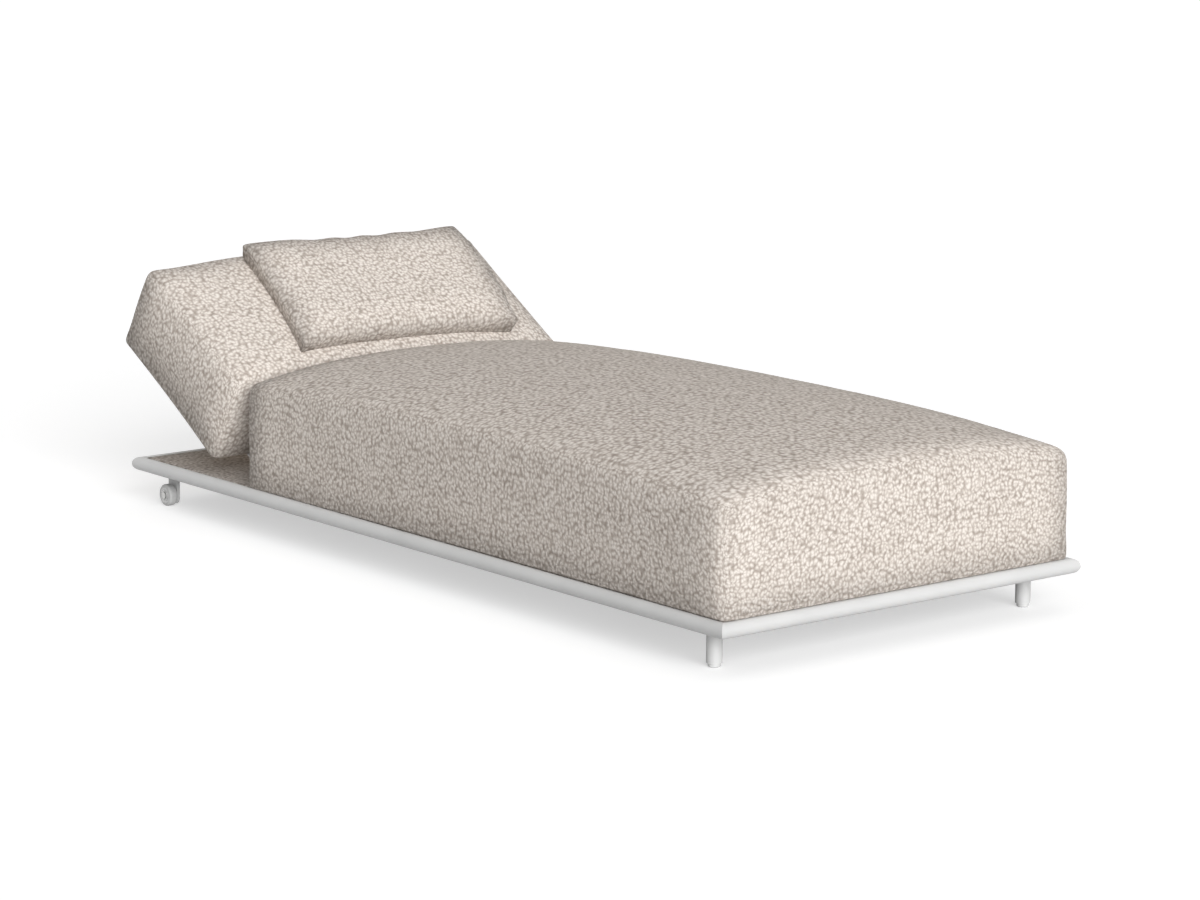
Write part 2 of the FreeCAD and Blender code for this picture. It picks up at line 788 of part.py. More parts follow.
def hinge_lock(side):
    """A closed round housing with a ribbed rim, on the inner face of its post."""
    outer = post_offset - post_thickness / 2
    inner = outer - lock_width
    drum = side_rod(side, lock_diameter / 2, inner, outer, hinge_y, hinge_height)
    rims = []
    for edge in drum.Edges:
        if isinstance(edge.Curve, Part.Circle) and abs(edge.Curve.Center.x) < outer - lock_edge:
            rims.append(edge)
    drum = drum.makeFillet(lock_edge, rims)
    for k in range(lock_rib_count):
        turn = 2 * math.pi * k / lock_rib_count
        y = hinge_y + lock_diameter / 2 * math.cos(turn)
        z = hinge_height + lock_diameter / 2 * math.sin(turn)
        drum = drum.cut(side_rod(side, lock_rib_depth, inner - cut_overrun, outer - lock_edge, y, z))
    return drum.cut(side_rod(side, pin_diameter / 2 + pin_fit, inner - cut_overrun,
                             outer + cut_overrun, hinge_y, hinge_height))


for name, side in sides:
    pieces[name + "_hinge_post"] = hinge_post(side)
    pieces[name + "_hinge_lock"] = hinge_lock(side)

# The origin is on the floor under the middle of the whole lounger
extent = group(list(pieces.values())).optimalBoundingBox()
middle_y = (extent.YMin + extent.YMax) / 2
os.makedirs("parts", exist_ok=True)
for name, shape in pieces.items():
    shape.translate(Vector(0, -middle_y, 0))
    shape.exportStep(os.path.join("parts", name + ".step"))
    print(name, len(shape.Solids), round(shape.Volume), shape.isValid())
print("size", round(extent.XLength, 2), round(extent.YLength, 2), round(extent.ZLength, 2))
print("lowest point", round(extent.ZMin, 3), "moved along Y", round(-middle_y, 3))
print("hinge axis", round(hinge_y - middle_y, 3), hinge_height)
print("wheel axis", wheel_x, round(head_bar_y - middle_y, 3), wheel_z)
print("legs", leg_x, round(foot_bar_y - middle_y, 3))
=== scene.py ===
import bpy
import json
import math
import numpy as np
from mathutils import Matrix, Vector


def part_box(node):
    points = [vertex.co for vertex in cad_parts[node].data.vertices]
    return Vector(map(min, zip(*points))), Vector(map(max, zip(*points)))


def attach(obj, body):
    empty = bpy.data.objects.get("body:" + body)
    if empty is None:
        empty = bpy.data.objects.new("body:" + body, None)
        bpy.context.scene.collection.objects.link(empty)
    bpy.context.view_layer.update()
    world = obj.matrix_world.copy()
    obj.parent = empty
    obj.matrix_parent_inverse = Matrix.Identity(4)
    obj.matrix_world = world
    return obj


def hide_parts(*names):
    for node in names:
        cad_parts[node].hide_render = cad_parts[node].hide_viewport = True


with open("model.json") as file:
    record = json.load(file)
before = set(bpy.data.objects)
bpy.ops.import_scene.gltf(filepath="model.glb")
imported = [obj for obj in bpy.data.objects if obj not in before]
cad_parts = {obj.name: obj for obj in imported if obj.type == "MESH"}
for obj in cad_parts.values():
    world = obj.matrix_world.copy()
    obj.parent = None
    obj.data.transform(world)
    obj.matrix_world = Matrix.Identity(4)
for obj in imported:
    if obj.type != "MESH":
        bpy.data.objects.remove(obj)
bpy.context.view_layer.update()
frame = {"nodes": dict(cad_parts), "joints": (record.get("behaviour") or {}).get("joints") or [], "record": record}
nodes = frame["nodes"]
scene = bpy.context.scene
backJoint = next(j for j in frame["joints"] if j["name"] == "back_tilt")
hingeAxis = np.array(backJoint["pos_m"])
flatAngle = math.radians(backJoint["range_deg"][0])  # from the rest pose down to flat on the deck
print("frame loaded,", len(nodes), "nodes")


# Mesh building

# A smooth mesh of quads, where cut gives each corner's place on the flat cloth in metres.
def meshPiece(name, points, quads, material, cut=None):
    mesh = bpy.data.meshes.new(name)
    mesh.from_pydata(points.tolist(), [], quads.tolist())
    mesh.polygons.foreach_set("use_smooth", np.ones(len(mesh.polygons), bool))
    if cut is not None:
        mesh.uv_layers.new(name="cut").uv.foreach_set("vector", cut.astype(np.float32).ravel())
    mesh.materials.append(material)
    mesh.update()
    piece = bpy.data.objects.new(name, mesh)
    scene.collection.objects.link(piece)
    return piece


# Numbers from -1 to 1 drawn towards both ends, so that cells there are smaller: a straight share
# plus a share of the sine.
def easeToEnds(even, share):
    return (1 - share) * even + share * np.sin(even * math.pi / 2)


# Goes from 0 to 1 between start and end as 3 t^2 - 2 t^3, level at both.
def smoothStep(value, start, end):
    t = np.clip((value - start) / (end - start), 0, 1)
    return t * t * (3 - 2 * t)


# Lattice points on the six faces of a box of counts[0] x counts[1] x counts[2] cells, each point
# once, as numbers from -1 to 1, with quads that face outwards and the axis that each one faces.
def boxLattice(counts):
    patches, axes = [], []
    for axis in range(3):
        first, second = (axis + 1) % 3, (axis + 2) % 3
        i, j = np.meshgrid(np.arange(counts[first]), np.arange(counts[second]), indexing="ij")
        for high in (0, 1):
            corners = np.zeros((i.size, 4, 3), int)
            corners[:, :, axis] = counts[axis] * high
            steps = ((0, 0), (1, 0), (1, 1), (0, 1)) if high else ((0, 0), (0, 1), (1, 1), (1, 0))
            for k, (di, dj) in enumerate(steps):
                corners[:, k, first] = i.ravel() + di
                corners[:, k, second] = j.ravel() + dj
            patches.append(corners)
            axes.append(np.full(i.size, axis))
    corners = np.concatenate(patches)
    points, index = np.unique(corners.reshape(-1, 3), axis=0, return_inverse=True)
    return 2 * points / np.array(counts) - 1, index.reshape(-1, 4), np.concatenate(axes)


# Numbers of the points of a grid of cells, row by row.
def gridNumbers(cells):
    rows, columns = cells[0] + 1, cells[1] + 1
    return np.arange(rows * columns).reshape(rows, columns)


# Quads of a grid of numbered points, facing up when rows run along X and columns along Y.
def gridQuads(number):
    corners = number[:-1, :-1], number[1:, :-1], number[1:, 1:], number[:-1, 1:]
    return np.stack(corners, 2).reshape(-1, 4)


# A mesh's points as rows of X, Y and Z.
def coordinates(piece):
    co = np.zeros(len(piece.data.vertices) * 3)
    piece.data.vertices.foreach_get("co", co)
    return co.reshape(-1, 3)


# Puts such rows back into the mesh.
def setCoordinates(piece, co):
    piece.data.vertices.foreach_set("co", co.ravel())
    piece.data.update()


# Turns points about the hinge axis, which runs along X.
def turnAboutHinge(points, angle):
    rel = points - hingeAxis
    c, s = math.cos(angle), math.sin(angle)
    turned = np.stack([rel[:, 0], c * rel[:, 1] - s * rel[:, 2], s * rel[:, 1] + c * rel[:, 2]], 1)
    return turned + hingeAxis


# What the sewn covers have in common when they swell
coverCloth = {
    "frames": 20,
    "quality": 5,
    "mass": 0.3,
    "bending": 2.0,
    "leastMove": 1e-9,  # keeps a point that didn't move from being divided by nothing
}


# Lets air pressure swell a closed cover, then keeps each point within cap of where it began,
# by the hyperbolic tangent, times how free it is: 0 where it rests on something, 1 where nothing
# holds it.
def puffCover(piece, form, free):
    start = coordinates(piece)
    puff = piece.modifiers.new("puff", "CLOTH")
    settings = puff.settings
    settings.quality = coverCloth["quality"]
    settings.mass = coverCloth["mass"]
    settings.tension_stiffness = form["stiffness"]
    settings.compression_stiffness = form["stiffness"]
    settings.shear_stiffness = form["stiffness"] / 2
    settings.bending_stiffness = coverCloth["bending"]
    settings.use_pressure = True
    settings.uniform_pressure_force = form["pressure"]
    settings.effector_weights.gravity = 0
    puff.collision_settings.use_collision = False
    puff.point_cache.frame_start = 1
    puff.point_cache.frame_end = coverCloth["frames"]
    for step in range(1, coverCloth["frames"] + 1):
        scene.frame_set(step)
    swollen = piece.evaluated_get(bpy.context.evaluated_depsgraph_get())
    end = np.zeros(start.size)
    swollen.data.vertices.foreach_get("co", end)
    moved = end.reshape(-1, 3) - start
    far = np.maximum(np.linalg.norm(moved, axis=1, keepdims=True), coverCloth["leastMove"])
    piece.modifiers.remove(puff)
    scene.frame_set(1)
    cap = form["cap"] * free[:, None]
    setCoordinates(piece, start + moved / far * cap * np.tanh(far / form["cap"]))
    print("puffed", piece.name, "by up to", round(float(far.max()) * 1000, 1), "mm")


# Rounds a mesh by Blender's subdivision, the same in the view and in the render.
def subdivide(piece, levels):
    sub = piece.modifiers.new("subdivide", "SUBSURF")
    sub.levels = levels
    sub.render_levels = levels


# Materials

# A new material with its node tree and its main shader.
def newMaterial(name):
    material = bpy.data.materials.new(name)
    material.use_nodes = True
    tree = material.node_tree
    return material, tree, tree.nodes["Principled BSDF"]


# A node with some of its sockets' values and its settings.
def addNode(tree, kind, values=None, **settings):
    node = tree.nodes.new(kind)
    for key, value in settings.items():
        setattr(node, key, value)
    for key, value in (values or {}).items():
        node.inputs[key].default_value = value
    return node


# A colour ramp, straight from one stop to the next.
def addRamp(tree, stops):
    ramp = addNode(tree, "ShaderNodeValToRGB")
    elements = ramp.color_ramp.elements
    while len(elements) < len(stops):
        elements.new(0.5)
    for element, (place, colour) in zip(elements, stops):
        element.position = place
        element.color = (*colour, 1)
    return ramp


boucle = {
    "loopWidth": 0.0088,  # metres from one yarn loop to the next
    "loopHeight": 0.0088,
    "swayScale": 0.45,
    "sway": 1.1,  # how far the loops wander from their lattice, in loops
    "scatter": 0.85,  # from loops in rows, 0, to loops anywhere, 1
    "melt": 0.35,  # how far a loop runs into the next one
    "loopRange": (0.69, 0.05),  # lowest and highest place of a loop, in loops from its middle
    "pileScale": 1.15,
    "pileDetail": 1.5,
    "pileRange": (0.28, 0.72),
    "pileShare": 0.32,  # of the height
    "tonesWithHollowShade": [  # by height: the two lowest stops are painted shade deep between the loops, then the taupe ground, duller loops and cream loop tops
        (0.02, (0.308, 0.267, 0.232)),
        (0.24, (0.406, 0.358, 0.318)),
        (0.44, (0.497, 0.445, 0.401)),
        (0.58, (0.573, 0.520, 0.475)),
        (0.80, (0.683, 0.638, 0.594)),
    ],
    "patchScale": 0.16,
    "patches": 0.20,  # change of tone from patch to patch of the cloth
    "fibreScale": 5.0,
    "fibreDetail": 2.0,
    "fibreRoughness": 0.6,
    "fibres": 0.35,  # height of the fibres against the loops
    "softEdge": 0.12,  # how far the loft turns the cloth at the cushions' edges
    "softSamples": 6,
    "bump": 0.0018,
    "bumpStrength": 0.55,
    "roughness": 0.92,
    "specular": 0.15,
}


# Looped yarn on the flat cloth. Round loops on a loose lattice and the uneven pile of a noise add
# up to a height, which gives the tone, from painted shade deep between the loops through the taupe
# ground to cream on top, lighter or darker from patch to patch, and the bump together with finer
# fibres.
def boucleCloth():
    material, tree, shader = newMaterial("boucleCloth")
    link = tree.links.new
    place = addNode(tree, "ShaderNodeUVMap", uv_map="cut")
    size = addNode(tree, "ShaderNodeMapping",
                   {"Scale": (1 / boucle["loopWidth"], 1 / boucle["loopHeight"], 1)})
    link(place.outputs[0], size.inputs["Vector"])

    # a noise over the flat cloth, whose scale counts in loops
    def clothNoise(scale, detail, roughness=0.5):
        noise = addNode(tree, "ShaderNodeTexNoise",
                        {"Scale": scale, "Detail": detail, "Roughness": roughness},
                        noise_dimensions="2D")
        link(size.outputs[0], noise.inputs["Vector"])
        return noise

    sway = clothNoise(boucle["swayScale"], 1.0)
    shift = addNode(tree, "ShaderNodeVectorMath", {1: (0.5, 0.5, 0.5)}, operation="SUBTRACT")
    link(sway.outputs["Color"], shift.inputs[0])
    scaled = addNode(tree, "ShaderNodeVectorMath", {"Scale": boucle["sway"]}, operation="SCALE")
    link(shift.outputs[0], scaled.inputs[0])
    moved = addNode(tree, "ShaderNodeVectorMath", operation="ADD")
    link(size.outputs[0], moved.inputs[0])
    link(scaled.outputs[0], moved.inputs[1])
    loops = addNode(tree, "ShaderNodeTexVoronoi",
                    {"Scale": 1.0, "Randomness": boucle["scatter"], "Smoothness": boucle["melt"]},
                    voronoi_dimensions="2D", feature="SMOOTH_F1")
    link(moved.outputs[0], loops.inputs["Vector"])
    loopLow, loopHigh = boucle["loopRange"]
    nub = addNode(tree, "ShaderNodeMapRange", {"From Min": loopLow, "From Max": loopHigh})
    link(loops.outputs["Distance"], nub.inputs["Value"])
    tuft = clothNoise(boucle["pileScale"], boucle["pileDetail"])
    pileLow, pileHigh = boucle["pileRange"]
    pile = addNode(tree, "ShaderNodeMapRange", {"From Min": pileLow, "From Max": pileHigh})
    link(tuft.outputs[0], pile.inputs["Value"])
    height = addNode(tree, "ShaderNodeMix", {0: boucle["pileShare"]}, data_type="FLOAT")
    link(nub.outputs[0], height.inputs[2])
    link(pile.outputs[0], height.inputs[3])

    patch = clothNoise(boucle["patchScale"], 1.0)
    worn = addNode(tree, "ShaderNodeMath", {1: boucle["patches"], 2: -0.5 * boucle["patches"]},
                   operation="MULTIPLY_ADD")
    link(patch.outputs[0], worn.inputs[0])
    shade = addNode(tree, "ShaderNodeMath", operation="ADD")
    link(height.outputs[0], shade.inputs[0])
    link(worn.outputs[0], shade.inputs[1])
    # the ramp's two lowest stops paint shade into the hollows between the loops
    tone = addRamp(tree, boucle["tonesWithHollowShade"])
    link(shade.outputs[0], tone.inputs[0])

    fibre = clothNoise(boucle["fibreScale"], boucle["fibreDetail"], boucle["fibreRoughness"])
    fibreLow = addNode(tree, "ShaderNodeMath", {1: boucle["fibres"]}, operation="MULTIPLY")
    link(fibre.outputs[0], fibreLow.inputs[0])
    relief = addNode(tree, "ShaderNodeMath", operation="ADD")
    link(height.outputs[0], relief.inputs[0])
    link(fibreLow.outputs[0], relief.inputs[1])
    bump = addNode(tree, "ShaderNodeBump",
                   {"Strength": boucle["bumpStrength"], "Distance": boucle["bump"]})
    link(relief.outputs[0], bump.inputs["Height"])
    loft = addNode(tree, "ShaderNodeBevel", {"Radius": boucle["softEdge"]},
                   samples=boucle["softSamples"])
    link(loft.outputs[0], bump.inputs["Normal"])
    link(tone.outputs[0], shader.inputs["Base Color"])
    link(bump.outputs[0], shader.inputs["Normal"])
    shader.inputs["Roughness"].default_value = boucle["roughness"]
    shader.inputs["Specular IOR Level"].default_value = boucle["specular"]
    return material


# The finishes of the other materials by their slots: shades, gloss from and to as roughness, how
# many clouds and grains there are to the metre, and the depth of the bump in metres
clouded = {
    "white_powder_coat": {
        "name": "whitePowderCoat", "dark": (0.505, 0.505, 0.502), "light": (0.545, 0.545, 0.542),
        "gloss": (0.42, 0.56), "clouds": 9.0, "grains": 900.0, "bump": 0.00012,
    },
    "cushion_foam": {
        "name": "cushionFoam", "dark": (0.80, 0.74, 0.60), "light": (0.88, 0.83, 0.70),
        "gloss": (0.85, 0.95), "clouds": 14.0, "grains": 420.0, "bump": 0.0012,
    },
    "pillow_wadding": {
        "name": "pillowWadding", "dark": (0.86, 0.86, 0.85), "light": (0.93, 0.93, 0.92),
        "gloss": (0.85, 0.95), "clouds": 20.0, "grains": 300.0, "bump": 0.002,
    },
    "deck_laminate": {
        "name": "deckLaminate", "dark": (0.070, 0.068, 0.066), "light": (0.105, 0.102, 0.098),
        "gloss": (0.5, 0.62), "clouds": 30.0, "grains": 700.0, "bump": 0.0001,
    },
    "glide_plastic": {
        "name": "glidePlastic", "dark": (0.56, 0.56, 0.555), "light": (0.62, 0.62, 0.615),
        "gloss": (0.5, 0.62), "clouds": 40.0, "grains": 1200.0, "bump": 0.0001,
    },
    "wheel_plastic": {
        "name": "wheelPlastic", "dark": (0.58, 0.58, 0.575), "light": (0.65, 0.65, 0.645),
        "gloss": (0.4, 0.52), "clouds": 40.0, "grains": 1200.0, "bump": 0.0001,
    },
    "wheel_rubber": {
        "name": "wheelRubber", "dark": (0.44, 0.44, 0.435), "light": (0.52, 0.52, 0.515),
        "gloss": (0.6, 0.75), "clouds": 60.0, "grains": 1500.0, "bump": 0.00015,
    },
    "lock_plastic": {
        "name": "lockPlastic", "dark": (0.018, 0.018, 0.018), "light": (0.03, 0.03, 0.03),
        "gloss": (0.4, 0.55), "clouds": 40.0, "grains": 1400.0, "bump": 0.0001,
    },
    "bumper_rubber": {
        "name": "bumperRubber", "dark": (0.012, 0.012, 0.012), "light": (0.022, 0.022, 0.022),
        "gloss": (0.7, 0.85), "clouds": 60.0, "grains": 1500.0, "bump": 0.00015,
    },
    "stainless_steel": {
        "name": "stainlessSteel", "dark": (0.48, 0.48, 0.47), "light": (0.60, 0.60, 0.585),
        "gloss": (0.26, 0.4), "clouds": 30.0, "grains": 1600.0, "bump": 0.00005, "metal": 1.0,
    },
}
cloudDetail, grainDetail, grainStrength = 3.0, 2.0, 0.35
darkAt, lightAt = 0.3, 0.7  # values of the noise where a finish has its dark and its light shade


# A finish with a cloudy change of shade from a broad noise, and gloss and a fine bump from a
# close one.
def cloudedFinish(form):
    material, tree, shader = newMaterial(form["name"])
    link = tree.links.new
    place = addNode(tree, "ShaderNodeTexCoord")
    cloud = addNode(tree, "ShaderNodeTexNoise", {"Scale": form["clouds"], "Detail": cloudDetail})
    grain = addNode(tree, "ShaderNodeTexNoise", {"Scale": form["grains"], "Detail": grainDetail})
    link(place.outputs["Object"], cloud.inputs["Vector"])
    link(place.outputs["Object"], grain.inputs["Vector"])
    tint = addRamp(tree, [(darkAt, form["dark"]), (lightAt, form["light"])])
    link(cloud.outputs[0], tint.inputs[0])
    glossLow, glossHigh = form["gloss"]
    rough = addNode(tree, "ShaderNodeMapRange", {"To Min": glossLow, "To Max": glossHigh})
    link(grain.outputs[0], rough.inputs["Value"])
    bump = addNode(tree, "ShaderNodeBump", {"Strength": grainStrength, "Distance": form["bump"]})
    link(grain.outputs[0], bump.inputs["Height"])
    link(tint.outputs[0], shader.inputs["Base Color"])
    link(rough.outputs[0], shader.inputs["Roughness"])
    link(bump.outputs[0], shader.inputs["Normal"])
    shader.inputs["Metallic"].default_value = form.get("metal", 0.0)
    return material


plywood = {
    "streaks": (2.0, 45.0, 45.0),  # long along X
    "scale": 3.0,
    "detail": 5.0,
    "distortion": 0.6,
    "dark": (0.40, 0.27, 0.15),
    "light": (0.62, 0.47, 0.30),
    "bump": 0.0004,
    "bumpStrength": 0.3,
    "roughness": 0.62,
}


# Veneer grain: a noise stretched along X colours long streaks.
def plywoodFinish(form):
    material, tree, shader = newMaterial("backPlywood")
    link = tree.links.new
    place = addNode(tree, "ShaderNodeTexCoord")
    stretch = addNode(tree, "ShaderNodeMapping", {"Scale": form["streaks"]})
    grain = addNode(tree, "ShaderNodeTexNoise", {"Scale": form["scale"], "Detail": form["detail"],
                                                 "Distortion": form["distortion"]})
    link(place.outputs["Object"], stretch.inputs["Vector"])
    link(stretch.outputs[0], grain.inputs["Vector"])
    tint = addRamp(tree, [(darkAt, form["dark"]), (lightAt, form["light"])])
    link(grain.outputs[0], tint.inputs[0])
    bump = addNode(tree, "ShaderNodeBump",
                   {"Strength": form["bumpStrength"], "Distance": form["bump"]})
    link(grain.outputs[0], bump.inputs["Height"])
    link(tint.outputs[0], shader.inputs["Base Color"])
    link(bump.outputs[0], shader.inputs["Normal"])
    shader.inputs["Roughness"].default_value = form["roughness"]
    return material


cloth = boucleCloth()
finishes = {slot: cloudedFinish(form) for slot, form in clouded.items()}
finishes["upholstery_cloth"] = cloth
finishes["back_plywood"] = plywoodFinish(plywood)
for subpart in frame["record"]["subparts"]:
    node = nodes[subpart["node"]]
    node.data.materials.clear()
    node.data.materials.append(finishes[subpart["material_slot"]])
print("finishes set")


# Cushions

# A value along a cushion from the foot end, v = -1, to the head end, v = 1: the middle one,
# going over to each end's with a power of v.
def swellAlong(v, values, power):
    foot, middle, head = values
    end = np.where(v < 0, foot, head)
    return middle + (end - middle) * np.abs(v) ** power


# A block whose edges are rounded as superellipses: the power plan rounds the upright edges, whose
# radius goes from the foot one to the head one, and the powers over and under round the edges of
# the top and the underside. Its top follows edge height plus crown times (1 - u to the power
# shoulder), its sides draw in between the corners and bow out at half height, and its underside
# is pressed flat at its level, where a lip may stand lower along the rim.
def cushionForm(form):
    half = np.array([form["width"], form["length"], form["height"] + form["press"]]) / 2
    counts = np.maximum(np.round(2 * half / form["spacing"]).astype(int), 4)
    even, quads, axes = boxLattice(counts)
    unit = easeToEnds(even, form["ease"])
    box = unit * half
    across = np.where(axes == 0, 1, 0)[:, None]
    along = np.where(axes == 2, 1, 2)[:, None]
    cut = np.stack([box[quads, across], box[quads, along]], 2)
    cut = cut * np.array(form["weave"])[axes][:, None, None] + axes[:, None, None]
    upper = unit[:, 2] > 0
    footRadius, headRadius = form["radii"]
    towardsHead = smoothStep(unit[:, 1], -form["radiiReach"], form["radiiReach"])
    upright = footRadius + (headRadius - footRadius) * towardsHead
    radius = np.repeat(upright[:, None], 3, 1)
    radius[:, 2] = np.where(upper, form["topRadius"], form["bottomRadius"])
    core = np.clip(box, radius - half, half - radius)
    out = np.abs(box - core) / radius
    side = (out[:, 0] ** form["plan"] + out[:, 1] ** form["plan"]) ** (1 / form["plan"])
    power = np.where(upper, form["over"], form["under"])
    reach = (side ** power + out[:, 2] ** power) ** (1 / power)
    box = core + (box - core) / reach[:, None]
    u, v = box[:, 0] / half[0], box[:, 1] / half[1]
    t = (box[:, 2] + half[2]) / (2 * half[2])
    edge, crown = (swellAlong(v, form[key], form["endPower"]) for key in ("edges", "crowns"))
    top = edge + crown * (1 - np.abs(u) ** form["shoulder"])
    belly = 1 - (2 * t - 1) ** 2
    x = box[:, 0] - u * form["draw"] * (1 - v ** 2) + u * form["bow"] * belly
    y = box[:, 1] + v * np.where(v < 0, *form["endBows"]) * (1 - u ** 2) * belly
    rim = np.minimum(half[0] - np.abs(box[:, 0]), half[1] - np.abs(box[:, 1]))
    floor = form["lip"] * smoothStep(rim, form["lipWidth"], form["lipSlope"] * form["lipWidth"])
    z = np.maximum(t * (top + form["press"]) - form["press"], floor)
    held = form["footHold"] * (1 - smoothStep(v, -1, form["holdEnd"]))
    free = smoothStep(t, *form["freeBand"]) * (1 - held)
    return np.stack([x, form["middle"] + y, form["level"] + z], 1), quads, cut, even, free


# What the seat and the back have in common
cushion = {
    "ease": 0.7,
    "press": 0.004,  # how far the deck or the board presses the underside in
    "plan": 2.3,
    "over": 2.1,
    "under": 2.2,
    "radiiReach": 0.9,  # the upright edges' radius changes within this share of the half length
    "endPower": 2.5,
    "bow": 0.004,
    "lipSlope": 1.7,  # where the lip's inner side ends, in widths of the lip
    "freeBand": (0.06, 0.3),  # shares of the height between which the cover gets free to swell
    "holdEnd": -0.92,  # how far from the foot end a held front reaches, as v
    "pressure": 3.0,
    "cap": 0.004,
    "stiffness": 40.0,
}
seatLow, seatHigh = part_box("seat_cover")
seat = {
    **cushion,
    "weave": (1.0, 1.13, 0.82),  # how fine the cloth's loops are on the sides, ends and top
    "spacing": 0.0135,
    "width": 0.870,
    "length": seatHigh.y - seatLow.y + 0.012,
    "middle": (seatHigh.y + seatLow.y) / 2 - 0.003,
    "level": seatLow.z + 0.0005,
    "height": 0.24,
    "lip": 0.0,
    "lipWidth": 0.010,
    "edges": (0.212, 0.243, 0.218),  # top height over the deck at the sides: foot, middle, head
    "crowns": (0.034, 0.040, 0.041),
    "shoulder": 2.4,
    "radii": (0.026, 0.014),  # foot, head
    "topRadius": 0.026,
    "bottomRadius": 0.007,
    "draw": 0.003,
    "endBows": (0.004, 0.004),  # foot, head
    "footHold": 0.0,
}
points, quads, cut, even, free = cushionForm(seat)
seatCushion = meshPiece("seatCushion", points, quads, cloth, cut)
puffCover(seatCushion, seat, free)
subdivide(seatCushion, 1)
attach(seatCushion, "base")
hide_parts("seat_cover", "seat_foam")
print("seat cushion made")

# The back is formed lying flat and then turned up to its rest pose
coverFlat = turnAboutHinge(coordinates(nodes["back_cover"]), flatAngle)
boardFlat = turnAboutHinge(coordinates(nodes["back_board"]), flatAngle)
back = {
    **cushion,
    "weave": (1.0, 1.0, 0.96),
    "spacing": 0.0115,
    "width": 0.875,
    "length": float(np.ptp(coverFlat[:, 1])) + 0.005,
    "middle": float(coverFlat[:, 1].max() + coverFlat[:, 1].min()) / 2 + 0.003,
    "level": float(coverFlat[:, 2].min()),
    "height": 0.19,
    "lip": float(boardFlat[:, 2].min() - coverFlat[:, 2].min()) + 0.0006,  # round the board
    "lipWidth": 0.009,
    "edges": (0.200, 0.204, 0.199),
    "crowns": (0.023, 0.030, 0.024),
    "shoulder": 2.6,
    "radii": (0.026, 0.016),
    "topRadius": 0.022,
    "bottomRadius": 0.012,
    "draw": 0.004,
    "endBows": (0.0, 0.004),
    "footHold": 1.0,  # its front stays flat, so that it clears the hinge posts when it lies down
}
points, quads, cut, even, free = cushionForm(back)
backCushion = meshPiece("backCushion", points, quads, cloth, cut)
puffCover(backCushion, back, free)
backFlat = coordinates(backCushion)
setCoordinates(backCushion, turnAboutHinge(backFlat, -flatAngle))
subdivide(backCushion, 1)
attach(backCushion, "backrest")
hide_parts("back_cover", "back_foam")
print("back cushion made")

# Heights of the back's top as it lies flat, on the grid of its upper lattice points
topRows = np.flatnonzero(even[:, 2] == 1)
topRows = topRows[np.lexsort((even[topRows, 1], even[topRows, 0]))]
topGrid = backFlat[topRows].reshape(len(np.unique(even[:, 0])), -1, 3)
gridX, gridY = topGrid[:, :, 0].mean(1), topGrid[:, :, 1].mean(0)


# Height of the back's top under points that lie over it, straight between the grid's points.
def backTop(x, y):
    fx = np.interp(x, gridX, np.arange(len(gridX)))
    fy = np.interp(y, gridY, np.arange(len(gridY)))
    i, j = np.minimum(fx.astype(int), len(gridX) - 2), np.minimum(fy.astype(int), len(gridY) - 2)
    fx, fy = fx - i, fy - j
    z = topGrid[:, :, 2]
    low = z[i, j] * (1 - fx) + z[i + 1, j] * fx
    high = z[i, j + 1] * (1 - fx) + z[i + 1, j + 1] * fx
    return low * (1 - fy) + high * fy


pillow = {
    "width": 0.556,
    "depth": 0.331,
    "shear": 0.083,  # its head edge lies further to the right than its front edge
    "middleX": 0.0445,
    "fromFront": 0.2185,  # from the front end of the back to the pillow's middle
    "over": 0.0405,  # swell of the upper sheet over the seam
    "under": 0.030,
    "seamHeight": 0.003,  # seam over the highest point of the back
    "gap": 0.0008,  # to the back that it lies on
    "square": 8.0,
    "steep": 0.29,
    "blunt": 0.55,  # how much steeper its walls are in the front corners, half of it at the head
    "bluntPower": 5,
    "bulge": 0.006,  # of its walls past the seam
    "rimPower": 6,
    "draw": 0.020,  # how far its left side draws in between the corners
    "endDraw": 1.6,  # times that on the front and head sides
    "swell": 0.080,  # how far the right side, where the filling has gathered, swells out instead
    "ear": 0.003,
    "earLift": 0.004,
    "earPower": 14,
    "pucker": 0.0012,
    "hemPower": 1.5,
    "frontPuckers": (15, 2.1, 3.3),  # how close, how uneven and how often uneven they are
    "sidePuckers": (9, 1.7, 2.7),
    "lean": math.radians(1.2),
    "roll": math.radians(-0.3),
    "turn": math.radians(-0.8),
    "cells": (120, 72),
    "ease": 0.75,
    "clear": 0.02,  # height over the back at which its cover is free to swell
    "pressure": 2.0,
    "cap": 0.003,
    "stiffness": 25.0,
}


# Lengths along the rows of a grid of points, from the middle one.
def lengthsAlong(grid):
    step = np.linalg.norm(np.diff(grid, axis=0), axis=2)
    run = np.concatenate([np.zeros((1, grid.shape[1])), np.cumsum(step, 0)])
    return run - run[len(run) // 2]


# Puckers along an edge: a sine of its length whose pace another sine makes uneven.
def puckersAlong(length, close, uneven, often):
    return np.sin(close * length + uneven * np.sin(often * length))


